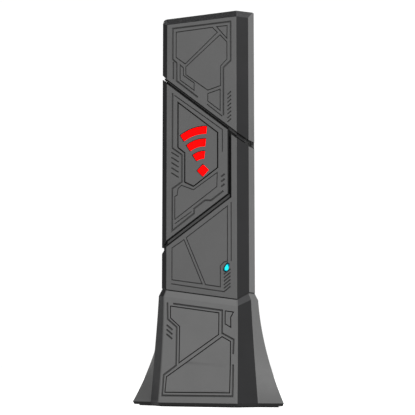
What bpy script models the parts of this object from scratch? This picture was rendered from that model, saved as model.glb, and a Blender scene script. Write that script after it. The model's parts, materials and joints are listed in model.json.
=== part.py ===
"""Wireless network adapter stick that stands in a flared desk cradle.

The frame is +Z up, the front faces -Y and +X is to the right. The origin is on the
table, under the middle of the cradle's footprint. Every outline below is in metres.

The adapter is an eight-sided stick: three front covers split by slanted channels, a
middle frame that shows in the channels, and a rear shell. Its neck and its USB plug go
down into the cradle's well. Offsets called "inset" are measured inwards from the
stick's outer skin, and "depth" is measured backwards from the stick's front face.
"""

import math

import bmesh
import bpy
from mathutils import Matrix, Vector

mm = 0.001

# ---------------------------------------------------------------- driving dimensions

total_height = 150.5 * mm

# Adapter stick, outer section
body_width = 36.0 * mm
body_depth = 15.0 * mm
front_chamfer = 3.5 * mm        # both ways, on the front's upright edges and its top edge
left_corner_slope = (-0.507, -0.737, 0.447)     # outward normal of the facet on each top corner
right_corner_slope = (0.5, -0.5, 0.707)
side_face = 6.3 * mm            # flat side between the front and rear chamfers
cover_wall = 1.4 * mm
frame_wall = 1.2 * mm
fit_gap = 0.3 * mm              # between any two pieces that meet

# Channels between the front covers, in the front view
channel_depth = 0.75 * mm       # from the skin down to the frame's ridge
right_notch = 1.5 * mm          # the same, where a channel meets the right-hand side
upper_channel_z = 113.8 * mm    # upper cover's edge on the centre line
upper_channel_slope = -0.79     # falls to the right
upper_channel_height = 1.5 * mm
strip_channel_height = 2.2 * mm  # the same channel, over the right-hand strip
lower_channel_z = 72.0 * mm     # middle cover's lower edge on the centre line
lower_channel_slope = 0.66      # rises to the right
lower_channel_height = 2.2 * mm
middle_cover_margin = 3.5 * mm  # from its right-hand edge to the front's upright edge
upright_channel = 1.2 * mm

# Emblem window in the middle cover
window_left_margin = 4.8 * mm   # from the front's upright edge
window_right_margin = 4.3 * mm  # from the middle cover's right-hand edge
window_below_channel = 4.2 * mm
window_above_channel = 13.0 * mm
window_step = 2.9 * mm
window_step_z = 96.0 * mm
window_corner = 3.6 * mm
window_ledge = 0.8 * mm         # frame's lip behind the emblem panel's edge
emblem_centre = (0.6 * mm, 88.7 * mm)   # its dot, x and z
emblem_radii = (6.0 * mm, 10.8 * mm, 15.6 * mm)
emblem_band = 2.5 * mm
emblem_half_angle = math.radians(19)
emblem_tilt = math.radians(14)          # leans to the left
emblem_dot = 2.1 * mm

# Status light in the lower cover
status_margin = 4.25 * mm       # from the front's upright edge
status_z = 51.5 * mm
status_width = 1.9 * mm
status_height = 2.7 * mm

# Stack of parts inside the adapter, from front to back
guide_thickness = 2.0 * mm
led_room = 2.0 * mm             # between the light guide and the board
board_thickness = 1.0 * mm
led_thickness = 0.8 * mm
led_half = 0.8 * mm
shield_height = 2.1 * mm
shield_wall = 0.3 * mm
spreader_thickness = 1.0 * mm

# Main board and what stands on it
board_side_room = 3.1 * mm      # to the frame, for the antennas
board_foot_half_width = 7.0 * mm
board_shoulder_drop = 2.5 * mm  # from the status light down to where the board narrows
board_corner = 2.0 * mm
board_top_drop = 12.5 * mm      # from the adapter's top
radio_z = 94.0 * mm
radio_half = (9.0 * mm, 9.5 * mm)
radio_chip_half = (5.0 * mm, 5.0 * mm)
power_z = 74.0 * mm
power_half = (7.0 * mm, 6.0 * mm)
power_chip_half = (2.5 * mm, 2.5 * mm)
chip_height = 1.0 * mm
coil_place = (4.5 * mm, 69.0 * mm)
coil_half = 1.6 * mm
coil_height = 1.2 * mm
crystal_drop = 11.0 * mm        # from the board's top
crystal_half = (1.6 * mm, 1.0 * mm)
thermal_pad_margin = 1.0 * mm

# Antennas, stamped from sheet, and their feeds
antenna_sheet = 0.3 * mm
antenna_foot_drop = 48.5 * mm   # from the adapter's top
antenna_length = 32.0 * mm
antenna_bridge = 4.0 * mm       # from the feet up to the bar that joins them
antenna_span = 4.2 * mm
antenna_arm = 1.2 * mm
antenna_overhang = 0.5 * mm     # past the back edge of the frame's straight inner side
feed_radius = 0.5 * mm
feed_clearance = 0.1 * mm
feed_start = (9.6 * mm, 84.0 * mm)

# Screws that close the adapter from behind
screw_margin = 2.5 * mm         # from the edge of the flat back
low_screw_z = 59.5 * mm
high_screw_drop = 8.5 * mm
boss_radius = 2.0 * mm
screw_radius = 0.9 * mm
screw_head_radius = 1.6 * mm
screw_head_height = 0.9 * mm

# USB plug and receptacle, to the standard's outer sizes
plug_width = 12.0 * mm
plug_thickness = 4.5 * mm
plug_length = 12.0 * mm
plug_tail = 6.5 * mm            # length held inside the neck
plug_sheet = 0.35 * mm
plug_corner = 0.5 * mm
tongue_thickness = 1.2 * mm
contact_thickness = 0.2 * mm
contact_width = 1.1 * mm
contact_pitch = 2.4 * mm

# Neck, cradle rim and well
neck_length = 15.0 * mm         # from the rim's lowest point down to the neck's floor
neck_collar = 3.5 * mm          # closed ring of the frame above the rim's highest point
rim_low_z = 39.3 * mm           # at the front's right-hand edge
rim_left_slope = 0.148          # the rim climbs to the left
rim_right_slope = 0.743         # and steeply to the right
rim_step = 1.1 * mm             # how far the cradle stands out under its bevelled rim
rim_bevel = 2.4 * mm
liner_wall = 0.9 * mm
liner_floor = 1.2 * mm

# Cradle footprint
base_width = 61.8 * mm
base_depth = 30.0 * mm
front_setback = 3.9 * mm        # stick's front face behind the cradle's front edge
foot_front_flare = 1.3 * mm     # sideways, from the stick's front corner
foot_corner_flare = 4.0 * mm    # sideways, from the stick's side
foot_corner_depth = 6.2 * mm    # behind the cradle's front edge
foot_wing_depth = 8.6 * mm
foot_rear_half = 21.5 * mm
widest_z = 1.5 * mm
shell_low_z = 0.45 * mm
shell_taper = 0.4 * mm
shell_wall = 1.2 * mm
flare_levels = 10

# Cradle internals
pad_inset = 1.8 * mm
pad_thickness = 1.0 * mm
plate_thickness = 2.0 * mm
ballast_thickness = 2.5 * mm
ballast_side_gap = 1.7 * mm     # to the bosses in the wings
ballast_front_gap = 2.5 * mm    # to the cradle's front wall
cradle_board_z = 7.0 * mm
cradle_board_thickness = 1.2 * mm
cradle_board_side_gap = 0.9 * mm
cradle_board_corner = 5.0 * mm
cradle_tail_half_width = 8.0 * mm
wing_boss_inset = (9.9 * mm, 1.9 * mm)  # from the wing's tip, inwards and backwards
rear_boss_inset = (9.5 * mm, 6.5 * mm)  # from the rear corner, inwards and forwards
shell_boss_radius = 2.3 * mm
shell_boss_height = 12.0 * mm
shell_boss_web = 1.2 * mm       # thickness of the web from each boss out to the wall
base_screw_head_radius = 1.8 * mm
base_screw_head_height = 0.9 * mm
post_radius = 2.2 * mm
post_inset = 6.0 * mm           # from the wing's boss, inwards
post_setback = 1.0 * mm         # behind the plug's centre line
liner_rim_drop = 3.5 * mm       # the cup's edge below the rim's bevel
liner_leg_half = 1.0 * mm
liner_leg_inset = 3.0 * mm
inlet_width = 9.0 * mm
inlet_height = 3.3 * mm
inlet_length = 7.0 * mm
inlet_sheet = 0.35 * mm
inlet_recess = 4.4 * mm         # mouth behind the cradle's rear face
inlet_tongue_margin = 1.4 * mm
inlet_tongue_half = 0.35 * mm

round_segments = 16
beyond = 5.0 * mm               # how far a cutter runs past what it cuts

# ------------------------------------------------------------------ worked-out values

half_width = body_width / 2
front_half = half_width - front_chamfer
rear_chamfer = body_depth - front_chamfer - side_face
rear_half = half_width - rear_chamfer
cradle_front_y = -base_depth / 2
front_y = cradle_front_y + front_setback
split_depth = front_chamfer + side_face
frame_inset = cover_wall + fit_gap
cavity_inset = frame_inset + frame_wall
middle_cover_right = front_half - middle_cover_margin
window_left = window_left_margin - front_half
window_right = middle_cover_right - window_right_margin
window_step_x = window_left + window_step
status_x = front_half - status_margin
guide_front = cavity_inset + fit_gap
board_front = guide_front + guide_thickness + led_room
board_half_width = half_width - cavity_inset - board_side_room
board_top = total_height - board_top_drop
screw_x = rear_half - screw_margin
screw_heights = (low_screw_z, total_height - high_screw_drop)
neck_floor_z = rim_low_z - neck_length
well_inset = frame_inset - fit_gap
strip_left = middle_cover_right + upright_channel
board_back = board_front + board_thickness
plug_depth = board_front + board_thickness / 2
plug_y = front_y + plug_depth
plug_tip_z = neck_floor_z - plug_length
rear_skin_inner = body_depth - cover_wall
spreader_back = rear_skin_inner - fit_gap
spreader_front = spreader_back - spreader_thickness
shield_front = board_back + fit_gap
frame_back = split_depth - 1.5 * fit_gap
plate_z = pad_thickness + fit_gap
plate_top = plate_z + plate_thickness
board_z_top = cradle_board_z + cradle_board_thickness
wing_boss_x = base_width / 2 - wing_boss_inset[0]
inlet_z = board_z_top + fit_gap + inlet_height / 2
inlet_back_y = base_depth / 2 - inlet_recess


def depth(value):
    """World Y of a depth behind the adapter's front face."""
    return front_y + value


def rim_z(x):
    """Height of the cradle's rim, a shallow V that runs straight from front to back."""
    if x <= front_half:
        return rim_low_z + rim_left_slope * (front_half - x)
    return rim_low_z + rim_right_slope * (x - front_half)


def upper_edge(x):
    """Lower edge of the upper cover."""
    return upper_channel_z + upper_channel_slope * x


def lower_edge(x):
    """Lower edge of the middle cover."""
    return lower_channel_z + lower_channel_slope * x


neck_top = rim_z(-half_width) + neck_collar

# ---------------------------------------------------------------------------- helpers

for old in list(bpy.data.objects):
    bpy.data.objects.remove(old, do_unlink=True)

parts = bpy.data.collections.new("wireless_adapter")
cutters = bpy.data.collections.new("cutters")
bpy.context.scene.collection.children.link(parts)
bpy.context.scene.collection.children.link(cutters)


def empty(name, location):
    holder = bpy.data.objects.new(name, None)
    holder.location = location
    parts.objects.link(holder)
    return holder


def material(name, colour, roughness, metallic=0.0):
    made = bpy.data.materials.new(name)
    made.use_nodes = True
    shader = made.node_tree.nodes["Principled BSDF"]
    shader.inputs["Base Color"].default_value = (*colour, 1.0)
    shader.inputs["Roughness"].default_value = roughness
    shader.inputs["Metallic"].default_value = metallic
    return made


def place(name, mesh, location=(0, 0, 0), rotation=(0, 0, 0)):
    """New object, kept with the cutters until finish() makes it a part."""
    made = bpy.data.objects.new(name, mesh)
    made.location = location
    made.rotation_euler = rotation
    made.hide_render = True
    made.display_type = "WIRE"
    cutters.objects.link(made)
    return made


def finish(piece, finish_material, holder):
    """Turn a piece into a finished part of the adapter or of the cradle."""
    cutters.objects.unlink(piece)
    parts.objects.link(piece)
    piece.hide_render = False
    piece.display_type = "TEXTURED"
    piece.data.materials.append(finish_material)
    piece.parent = holder
    piece.matrix_parent_inverse = Matrix.Translation(-holder.location)
    return piece


def boolean(target, operation, other):
    modifier = target.modifiers.new(f"{operation.lower()}_{other.name}", "BOOLEAN")
    modifier.operation = operation
    modifier.solver = "EXACT"
    modifier.object = other


def cut(target, *others):
    for other in others:
        boolean(target, "DIFFERENCE", other)


def join(target, *others):
    for other in others:
        boolean(target, "UNION", other)


def keep(target, other):
    boolean(target, "INTERSECT", other)


def box(name, low, high):
    """Upright box between two corners."""
    low, high = Vector(low), Vector(high)
    bm = bmesh.new()
    bmesh.ops.create_cube(bm, size=1.0)
    bmesh.ops.scale(bm, vec=high - low, verts=bm.verts)
    mesh = bpy.data.meshes.new(name)
    bm.to_mesh(mesh)
    bm.free()
    return place(name, mesh, (low + high) / 2)


def cylinder(name, radius, low, high, centre, axis="Z"):
    """Round bar from low to high along Z (centre is x, y) or along Y (centre is x, z)."""
    bm = bmesh.new()
    bmesh.ops.create_cone(bm, cap_ends=True, segments=round_segments,
                          radius1=radius, radius2=radius, depth=high - low)
    mesh = bpy.data.meshes.new(name)
    bm.to_mesh(mesh)
    bm.free()
    mesh.shade_smooth()
    mesh.set_sharp_from_angle(angle=math.radians(40))
    middle = (low + high) / 2
    if axis == "Z":
        return place(name, mesh, (centre[0], centre[1], middle))
    return place(name, mesh, (centre[0], middle, centre[1]), (math.pi / 2, 0, 0))


def curve_to_mesh(name, curve, location=(0, 0, 0), rotation=(0, 0, 0)):
    """Mesh object of a curve, with the caps welded on."""
    source = bpy.data.objects.new(name + "_curve", curve)
    source.location = location
    source.rotation_euler = rotation
    cutters.objects.link(source)
    bpy.context.view_layer.update()
    graph = bpy.context.evaluated_depsgraph_get()
    mesh = bpy.data.meshes.new_from_object(source.evaluated_get(graph))
    mesh.name = name
    bm = bmesh.new()
    bm.from_mesh(mesh)
    bmesh.ops.remove_doubles(bm, verts=bm.verts, dist=0.001 * mm)
    bmesh.ops.recalc_face_normals(bm, faces=bm.faces)
    bm.to_mesh(mesh)
    bm.free()
    made = place(name, mesh)
    made.matrix_world = source.matrix_world
    bpy.data.objects.remove(source, do_unlink=True)
    return made


def extruded(name, outline, low, high, along="Z"):
    """Flat outline extruded along Z (points are x, y), Y (x, z) or X (y, z)."""
    curve = bpy.data.curves.new(name, "CURVE")
    curve.dimensions = "2D"
    curve.fill_mode = "BOTH"
    curve.extrude = (high - low) / 2
    spline = curve.splines.new("POLY")
    spline.points.add(len(outline) - 1)
    spline.use_cyclic_u = True
    for point, (across, up) in zip(spline.points, outline):
        point.co = (across, up, 0, 1)
    middle = (low + high) / 2
    if along == "Z":
        return curve_to_mesh(name, curve, (0, 0, middle))
    if along == "Y":
        return curve_to_mesh(name, curve, (0, middle, 0), (math.pi / 2, 0, 0))
    return curve_to_mesh(name, curve, (middle, 0, 0), (math.pi / 2, 0, math.pi / 2))


def tube(name, points, radius):
    """Round wire along a smooth run of points."""
    curve = bpy.data.curves.new(name, "CURVE")
    curve.dimensions = "3D"
    curve.bevel_depth = radius
    curve.bevel_resolution = 2
    curve.use_fill_caps = True
    spline = curve.splines.new("POLY")
    spline.points.add(len(points) - 1)
    for point, place_on_wire in zip(spline.points, points):
        point.co = (*place_on_wire, 1)
    return curve_to_mesh(name, curve)


def inset_outline(points, distance):
    """Counter-clockwise outline with every edge moved inwards, corners mitred."""
    points = [Vector(point) for point in points]
    moved = []
    for index, here in enumerate(points):
        before = points[index - 1]
        after = points[(index + 1) % len(points)]
        run_in = (here - before).normalized()
        run_out = (after - here).normalized()
        mitre = Vector((-run_in.y, run_in.x)) + Vector((-run_out.y, run_out.x))
        moved.append(here + mitre * (2 * distance / mitre.length_squared))
    return moved


def rounded_rectangle(half_across, half_up, radius, centre=(0, 0), steps=4):
    outline = []
    for quarter, (side, end) in enumerate(((1, 1), (-1, 1), (-1, -1), (1, -1))):
        for step in range(steps + 1):
            angle = (quarter + step / steps) * math.pi / 2
            outline.append((centre[0] + side * (half_across - radius) + radius * math.cos(angle),
                            centre[1] + end * (half_up - radius) + radius * math.sin(angle)))
    return outline


# ------------------------------------------------------------------- adapter's section

def section(inset=0.0):
    """Stick's outline from above. It holds a point on each rear chamfer, under the rim's V."""
    side_back = split_depth
    rear_point = side_back + half_width - front_half
    outline = [(-front_half, 0), (front_half, 0), (half_width, front_chamfer),
               (half_width, side_back), (front_half, rear_point), (rear_half, body_depth),
               (-rear_half, body_depth), (-front_half, rear_point),
               (-half_width, side_back), (-half_width, front_chamfer)]
    return inset_outline([(x, depth(back)) for x, back in outline], inset)


def stick(name, inset, floor):
    """The stick's whole solid, moved in by inset, with its top edges chamfered."""
    block = extruded(name, section(inset), floor, total_height - inset)
    bm = bmesh.new()
    bm.from_mesh(block.data)
    bm.transform(block.matrix_world)
    slopes = ((0, (0, -1, 1)), (-1, left_corner_slope), (1, right_corner_slope))
    for side, direction in slopes:
        slope = Vector(direction).normalized()
        edge = Vector((side * front_half, front_y, total_height - front_chamfer))
        bmesh.ops.bisect_plane(bm, geom=bm.verts[:] + bm.edges[:] + bm.faces[:],
                               dist=0.001 * mm, plane_co=edge - slope * inset,
                               plane_no=slope, clear_outer=True)
        open_edges = [rim for rim in bm.edges if rim.is_boundary]
        bmesh.ops.holes_fill(bm, edges=open_edges, sides=0)
    bmesh.ops.recalc_face_normals(bm, faces=bm.faces)
    bm.to_mesh(block.data)
    bm.free()
    block.matrix_world = Matrix.Identity(4)
    return block


# ---------------------------------------------------------- outlines in the front view

reach = half_width + beyond
ceiling = total_height + beyond


def rim_outline(lift):
    """The rim's V from right to left, raised by lift."""
    return [(x, rim_z(x) + lift) for x in (reach, front_half, -reach)]


def upper_region():
    return [(-reach, upper_edge(-reach)), (reach, upper_edge(reach)),
            (reach, ceiling), (-reach, ceiling)]


def middle_region():
    return [(-reach, lower_edge(-reach)),
            (middle_cover_right, lower_edge(middle_cover_right)),
            (middle_cover_right, upper_edge(middle_cover_right) - upper_channel_height),
            (-reach, upper_edge(-reach) - upper_channel_height)]


def lower_region():
    """Lower cover with the strip that climbs its right-hand side."""
    return [(-reach, lower_edge(-reach) - lower_channel_height),
            (-reach, rim_z(-reach) + fit_gap),
            (front_half, rim_low_z + fit_gap),
            (reach, rim_z(reach) + fit_gap),
            (reach, upper_edge(reach) - strip_channel_height),
            (strip_left, upper_edge(strip_left) - strip_channel_height),
            (strip_left, lower_edge(strip_left) - lower_channel_height)]


def ridge_region():
    """All the channels in one outline, with a gap left to each cover."""
    steep = fit_gap * math.hypot(1, upper_channel_slope)
    shallow = fit_gap * math.hypot(1, lower_channel_slope)
    inner = middle_cover_right + fit_gap
    outer = strip_left - fit_gap
    end = half_width - right_notch
    return [(-reach, upper_edge(-reach) - upper_channel_height + steep),
            (inner, upper_edge(inner) - upper_channel_height + steep),
            (inner, lower_edge(inner) - shallow),
            (-reach, lower_edge(-reach) - shallow),
            (-reach, lower_edge(-reach) - lower_channel_height + shallow),
            (outer, lower_edge(outer) - lower_channel_height + shallow),
            (outer, upper_edge(outer) - strip_channel_height + steep),
            (end, upper_edge(end) - strip_channel_height + steep),
            (end, upper_edge(end) - steep),
            (-reach, upper_edge(-reach) - steep)]


def window_outline(inset=0.0):
    """Emblem window. Its slanted sides run along the channels."""
    top = upper_channel_z - upper_channel_height - window_below_channel
    low = lower_channel_z + window_above_channel
    tip_x = window_step_x + window_corner
    outline = [(window_step_x, low + lower_channel_slope * tip_x + window_corner / 2),
               (tip_x, low + lower_channel_slope * tip_x),
               (window_right, low + lower_channel_slope * window_right),
               (window_right, top + upper_channel_slope * window_right),
               (window_left, top + upper_channel_slope * window_left),
               (window_left, window_step_z - upper_channel_slope * (window_step_x - window_left)),
               (window_step_x, window_step_z)]
    return inset_outline(outline, inset)


def status_outline(grow=0.0):
    """Slanted hexagon of the status light."""
    half_across = status_width / 2
    half_up = status_height / 2
    outline = [(-0.95, -0.75), (-0.3, -1), (0.6, -0.35), (0.95, 0.75), (0.45, 1), (-0.65, 0)]
    points = [(status_x + across * half_across, status_z + up * half_up)
              for across, up in outline]
    return inset_outline(points, -grow)


def emblem_band_outline(radius, grow=0.0, steps=10):
    """Curved band of the signal emblem, fanned about the emblem's dot."""
    inner = radius - emblem_band / 2 - grow
    outer = radius + emblem_band / 2 + grow
    spread = emblem_half_angle + grow / radius
    angles = [emblem_tilt - spread + 2 * spread * step / steps for step in range(steps + 1)]
    x, z = emblem_centre
    outline = [(x - inner * math.sin(angle), z + inner * math.cos(angle)) for angle in angles]
    outline += [(x - outer * math.sin(angle), z + outer * math.cos(angle))
                for angle in reversed(angles)]
    return outline


def emblem_dot_outline(grow=0.0):
    x, z = emblem_centre
    size = emblem_dot + grow * math.sqrt(2)
    return [(x, z - size), (x + size, z), (x, z + size), (x - size, z)]


def emblem_shapes(name, grow, low, high):
    outlines = [emblem_dot_outline(grow)]
    outlines += [emblem_band_outline(radius, grow) for radius in emblem_radii]
    return [extruded(f"{name}_{number}", outline, depth(low), depth(high), "Y")
            for number, outline in enumerate(outlines)]


# --------------------------------------------------------------------------- materials

panel_grey = material("panel_grey", (0.12, 0.12, 0.125), 0.55)
frame_black = material("frame_black", (0.02, 0.02, 0.022), 0.5)
lens_red = material("lens_red", (0.9, 0.01, 0.01), 0.3)
lens_cyan = material("lens_cyan", (0.02, 0.75, 0.95), 0.25)
diffuser_white = material("diffuser_white", (0.85, 0.85, 0.85), 0.5)
board_green = material("board_green", (0.02, 0.16, 0.07), 0.45)
nickel_steel = material("nickel_steel", (0.62, 0.62, 0.6), 0.3, 1.0)
gold_contact = material("gold_contact", (0.9, 0.65, 0.22), 0.25, 1.0)
chip_black = material("chip_black", (0.03, 0.03, 0.03), 0.6)
pad_blue = material("pad_blue", (0.25, 0.38, 0.5), 0.8)
aluminium = material("aluminium", (0.7, 0.71, 0.72), 0.4, 1.0)
liner_black = material("liner_black", (0.035, 0.035, 0.035), 0.6)
zinc_steel = material("zinc_steel", (0.45, 0.45, 0.46), 0.4, 1.0)
rubber_black = material("rubber_black", (0.025, 0.025, 0.025), 0.85)

# The adapter lifts straight up out of the cradle along the plug's centre line.
adapter = empty("adapter_lift", (0, plug_y, 0))
cradle = empty("cradle", (0, 0, 0))

# ----------------------------------------------------------------------- adapter shell


def front_prism(name, outline):
    """Cutter that keeps what lies inside outline, in front of the split line."""
    return extruded(name, outline, front_y - beyond, depth(split_depth - fit_gap / 2), "Y")


def make_covers():
    under_skin = stick("under_cover_skin", cover_wall, neck_floor_z - beyond)
    regions = (("upper_cover", upper_region()), ("middle_cover", middle_region()),
               ("lower_cover", lower_region()))
    covers = {}
    for name, region in regions:
        cover = stick(name, 0, neck_floor_z)
        keep(cover, front_prism(name + "_region", region))
        cut(cover, under_skin)
        covers[name] = finish(cover, panel_grey, adapter)
    cut(covers["middle_cover"],
        extruded("window_hole", window_outline(-fit_gap / 2), front_y - beyond,
                 depth(cover_wall + fit_gap), "Y"))
    cut(covers["lower_cover"],
        extruded("status_hole", status_outline(fit_gap), front_y - beyond,
                 depth(cover_wall + fit_gap), "Y"))


def screw_places():
    return [(side * screw_x, height) for side in (-1, 1) for height in screw_heights]


def make_rear_shell():
    shell = stick("rear_shell", 0, neck_floor_z)
    outline = [(-reach, ceiling), *reversed(rim_outline(fit_gap)), (reach, ceiling)]
    keep(shell, extruded("rear_region", outline, depth(split_depth + fit_gap / 2),
                         depth(body_depth) + beyond, "Y"))
    cut(shell, stick("under_rear_skin", cover_wall, neck_floor_z - beyond))
    boss_front = depth(frame_back + fit_gap)
    sink = depth(body_depth - screw_head_height - fit_gap)
    for number, centre in enumerate(screw_places()):
        boss = cylinder(f"rear_boss_{number}", boss_radius, boss_front,
                        depth(body_depth - cover_wall / 2), centre, "Y")
        join(shell, boss)
    for number, centre in enumerate(screw_places()):
        hole = cylinder(f"rear_hole_{number}", screw_radius + fit_gap, boss_front - beyond,
                        sink + fit_gap, centre, "Y")
        join(hole, cylinder(f"rear_sink_{number}", screw_head_radius + fit_gap, sink,
                            depth(body_depth) + beyond, centre, "Y"))
        cut(shell, hole)
    finish(shell, panel_grey, adapter)


def make_mid_frame():
    frame = stick("mid_frame", frame_inset, neck_floor_z)
    ridge = stick("ridge_skin", channel_depth, neck_top)
    keep(ridge, extruded("ridge_region", ridge_region(), front_y - beyond,
                         depth(frame_back), "Y"))
    join(frame, ridge)
    cut(frame, stick("frame_cavity", cavity_inset, neck_floor_z + frame_wall),
        box("frame_back_cut", (-reach, depth(frame_back), neck_top),
            (reach, depth(body_depth) + beyond, ceiling)))
    for number, centre in enumerate(screw_places()):
        boss = cylinder(f"frame_boss_{number}", boss_radius,
                        depth(frame_inset + frame_wall / 2), depth(frame_back), centre, "Y")
        join(frame, boss)
    for number, centre in enumerate(screw_places()):
        cut(frame, cylinder(f"frame_pilot_{number}", screw_radius + fit_gap,
                            depth(cavity_inset), depth(body_depth), centre, "Y"))
    plug_room = rounded_rectangle(plug_width / 2 + fit_gap, plug_thickness / 2 + fit_gap,
                                  plug_corner + fit_gap, (0, plug_y))
    cut(frame,
        extruded("plug_way", plug_room, neck_floor_z - beyond,
                 neck_floor_z + frame_wall + fit_gap),
        extruded("lens_way", window_outline(window_ledge), front_y - beyond,
                 depth(cavity_inset + fit_gap), "Y"),
        extruded("status_way", status_outline(fit_gap), front_y - beyond,
                 depth(cavity_inset + fit_gap), "Y"))
    finish(frame, frame_black, adapter)


def make_emblem():
    panel = extruded("emblem_panel", window_outline(fit_gap / 2), front_y,
                     depth(cover_wall), "Y")
    cut(panel, *emblem_shapes("emblem_hole", fit_gap, -beyond, cover_wall + fit_gap))
    finish(panel, panel_grey, adapter)

    lens = extruded("emblem_lens", window_outline(window_ledge + fit_gap),
                    depth(frame_inset), depth(cavity_inset), "Y")
    join(lens, *emblem_shapes("emblem_shape", 0, 0, frame_inset + frame_wall / 2))
    finish(lens, lens_red, adapter)

    guide = extruded("emblem_light_guide", window_outline(cavity_inset), depth(guide_front),
                     depth(guide_front + guide_thickness), "Y")
    finish(guide, diffuser_white, adapter)


def make_status_lens():
    lens = extruded("status_lens", status_outline(), front_y,
                    depth(guide_front + guide_thickness), "Y")
    finish(lens, lens_cyan, adapter)


def make_shell_screws():
    """Four slotted screws that go in from behind, each a node of its own."""
    tip = depth(cavity_inset + frame_wall)
    head_back = depth(body_depth) - fit_gap / 2
    head_middle = head_back - screw_head_height / 2
    for number, centre in enumerate(screw_places(), 1):
        screw = cylinder(f"shell_screw_{number}", screw_radius, tip, head_middle, centre, "Y")
        join(screw, cylinder(f"screw_head_{number}", screw_head_radius,
                             head_back - screw_head_height, head_back, centre, "Y"))
        slot_low = (centre[0] - beyond, head_middle, centre[1] - screw_radius / 3)
        slot_high = (centre[0] + beyond, head_back + beyond, centre[1] + screw_radius / 3)
        cut(screw, box(f"screw_slot_{number}", slot_low, slot_high))
        finish(screw, zinc_steel, adapter)


# -------------------------------------------------------------------- adapter internals

def board_outline():
    """Board in the front view, notched around the lower screws' bosses."""
    clear = boss_radius + 2 * fit_gap
    notch_half = screw_x - clear
    foot_z = neck_floor_z + plug_tail + 2 * fit_gap
    shoulder_z = status_z - board_shoulder_drop
    right = [(board_foot_half_width, foot_z), (board_foot_half_width, shoulder_z - board_corner),
             (board_half_width, shoulder_z), (board_half_width, low_screw_z - clear),
             (notch_half, low_screw_z - clear), (notch_half, low_screw_z + clear),
             (board_half_width, low_screw_z + clear), (board_half_width, board_top - board_corner),
             (board_half_width - board_corner, board_top)]
    return right + [(-x, z) for x, z in reversed(right)]


def can(name, z, half_across, half_up):
    """Pressed shield can on the board's centre line, open towards the board."""
    low = (-half_across, depth(shield_front), z - half_up)
    high = (half_across, depth(shield_front + shield_height), z + half_up)
    shell = box(name, low, high)
    wall = Vector((shield_wall, 0, shield_wall))
    cut(shell, box(name + "_inside", Vector(low) + wall - Vector((0, beyond, 0)),
                   Vector(high) - wall - Vector((0, shield_wall, 0))))
    return finish(shell, nickel_steel, adapter)


def chip(name, z, half_across, half_up):
    made = box(name, (-half_across, depth(shield_front), z - half_up),
               (half_across, depth(shield_front) + chip_height, z + half_up))
    return finish(made, chip_black, adapter)


def row_of(name, boxes, finish_material, holder):
    """Like boxes, each a node of its own, numbered from 1."""
    for number, (low, high) in enumerate(boxes, 1):
        finish(box(f"{name}_{number}", low, high), finish_material, holder)


def on_board_front(x, z, half_across, half_up, height):
    """Corners of a small box that stands on the board's front side."""
    back = depth(board_front - fit_gap)
    return (x - half_across, back - height, z - half_up), (x + half_across, back, z + half_up)


def make_board():
    board = extruded("main_board", board_outline(), depth(board_front), depth(board_back), "Y")
    finish(board, board_green, adapter)
    can("radio_shield", radio_z, *radio_half)
    chip("radio_chip", radio_z, *radio_chip_half)
    can("power_shield", power_z, *power_half)
    chip("power_chip", power_z, *power_chip_half)

    led_places = [(emblem_centre[0] + across * mm, emblem_centre[1] + up * mm)
                  for across, up in ((0, 1), (-2.5, 11), (3, 11))]
    leds = [on_board_front(x, z, led_half, led_half, led_thickness) for x, z in led_places]
    row_of("emblem_led", leds, diffuser_white, adapter)
    status = on_board_front(status_x, status_z, led_half, led_half, led_thickness)
    finish(box("status_led", *status), diffuser_white, adapter)
    coil_x, coil_z = coil_place
    coils = [on_board_front(side * coil_x, coil_z, coil_half, coil_half, coil_height)
             for side in (-1, 1)]
    row_of("power_coil", coils, chip_black, adapter)
    crystal = on_board_front(0, board_top - crystal_drop, *crystal_half, led_thickness)
    finish(box("crystal", *crystal), nickel_steel, adapter)


def make_heat_path():
    pad_x, pad_z = (half - thermal_pad_margin for half in radio_half)
    pad = box("thermal_pad",
              (-pad_x, depth(shield_front + shield_height + fit_gap), radio_z - pad_z),
              (pad_x, depth(spreader_front - fit_gap), radio_z + pad_z))
    finish(pad, pad_blue, adapter)
    low, high = screw_heights
    half_across = rear_half - cover_wall - fit_gap
    clear = 2 * boss_radius
    spreader = box("heat_spreader", (-half_across, depth(spreader_front), low + clear),
                   (half_across, depth(spreader_back), high - clear))
    finish(spreader, aluminium, adapter)


def make_antennas():
    """Two stamped inverted-F antennas, each on edge beside the board, with its feed."""
    arm = antenna_arm
    face = half_width - cavity_inset - 2 * fit_gap
    foot_z = total_height - antenna_foot_drop
    back = split_depth - cavity_inset * math.tan(math.pi / 8) + antenna_overhang
    front = back - antenna_span
    bridge_top = antenna_bridge + arm
    outline = [(front, 0), (front + arm, 0), (front + arm, antenna_bridge),
               (back - arm, antenna_bridge), (back - arm, 0), (back, 0), (back, bridge_top),
               (front + arm, bridge_top), (front + arm, antenna_length), (front, antenna_length)]
    points = [(depth(inwards), foot_z + up) for inwards, up in outline]
    feed_y = depth(board_front - fit_gap - feed_clearance - feed_radius)
    start_x, start_z = feed_start
    end_x = face - antenna_sheet - fit_gap - 2 * feed_clearance - feed_radius
    end_z = foot_z + arm
    for side, word in ((-1, "left"), (1, "right")):
        near, far = sorted((side * face, side * (face - antenna_sheet)))
        plate = extruded(f"antenna_{word}", points, near, far, "X")
        finish(plate, gold_contact, adapter)
        steps = 12
        run = []
        for step in range(steps + 1):
            share = step / steps
            across = share * share * (3 - 2 * share)
            run.append((side * (start_x + (end_x - start_x) * across), feed_y,
                        start_z + (end_z - start_z) * share))
        finish(tube(f"antenna_cable_{word}", run, feed_radius), chip_black, adapter)


# ---------------------------------------------------------------- plug and receptacle

def plug_box(half_across, low_depth, high_depth, low, high):
    """Corners of a box inside the plug, by depth and height."""
    return (-half_across, depth(low_depth), low), (half_across, depth(high_depth), high)


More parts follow.
